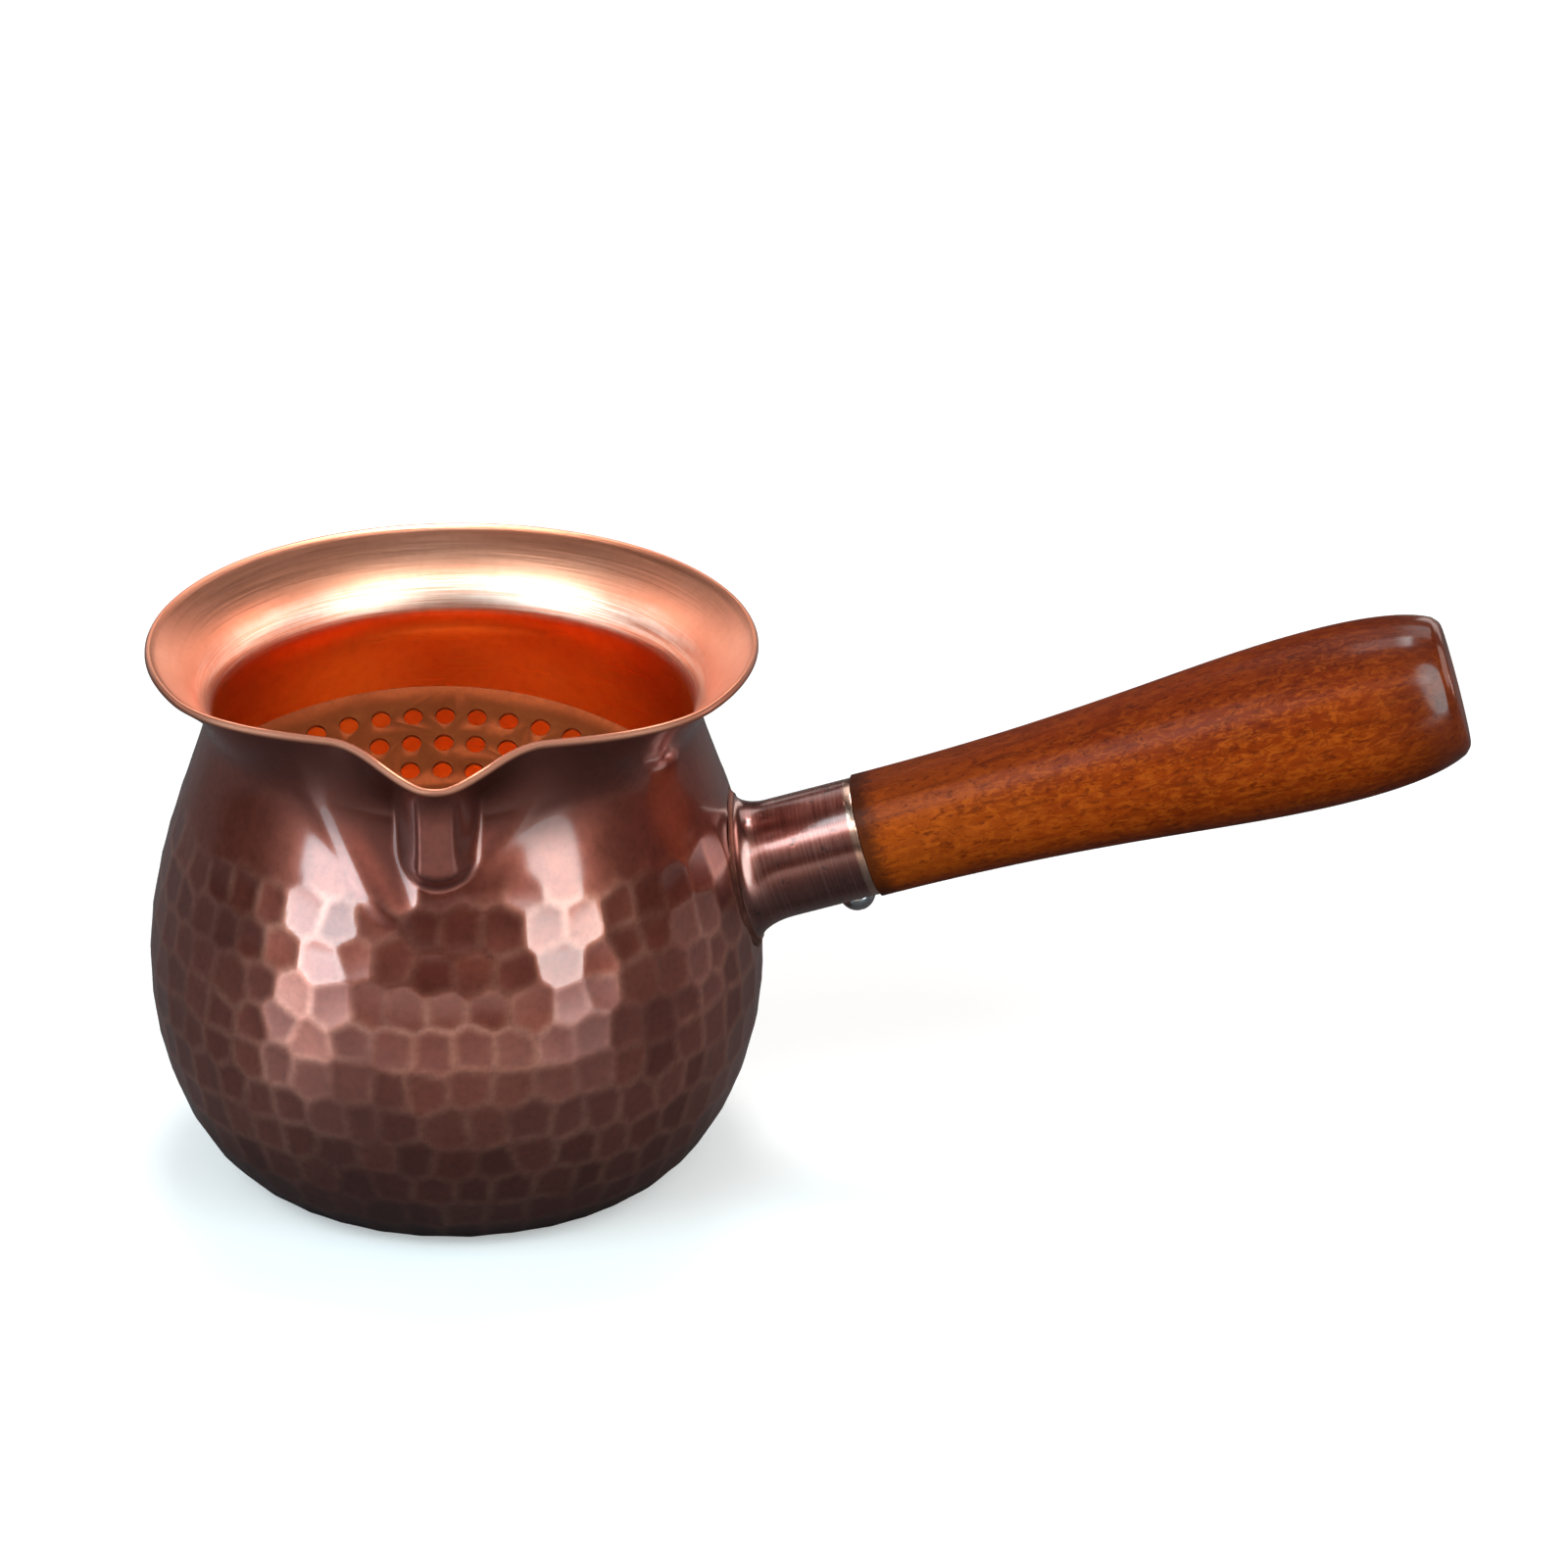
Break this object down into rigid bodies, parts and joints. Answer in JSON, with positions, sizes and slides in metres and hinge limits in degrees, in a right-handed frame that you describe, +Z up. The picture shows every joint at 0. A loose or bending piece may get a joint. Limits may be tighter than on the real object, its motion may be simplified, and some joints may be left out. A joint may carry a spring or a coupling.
{
  "type": "side-handled tea pitcher",
  "caption": "Hammered copper side-handled tea pitcher with a flared rim, pinched pouring lip, built-in perforated strainer and turned wooden handle",
  "frame": {"origin": "centre of the foot, on the table", "axes": "+Z up, the pouring lip faces -Y, the handle points along +X and rises"},
  "size_m": [0.1862, 0.087, 0.083],
  "materials": {
    "bowl_copper": "hand hammered, dark patina with burnished ridges, brushed neck and rim",
    "strainer_copper": "matte rolled copper",
    "solder": "dull soft solder",
    "socket_copper": "brushed round, darkened copper with a polished edge",
    "braze": "dressed and polished braze",
    "handle_wood": "reddish-brown stain under clear lacquer",
    "screw_chrome": "polished chrome plate"
  },
  "bodies": {
    "root": {"body_shell": "bowl_copper", "strainer_plate": "strainer_copper", "strainer_solder": "solder", "handle_socket": "socket_copper", "socket_braze": "braze", "handle": "handle_wood", "handle_screw": "screw_chrome"}
  },
  "joints": []
}
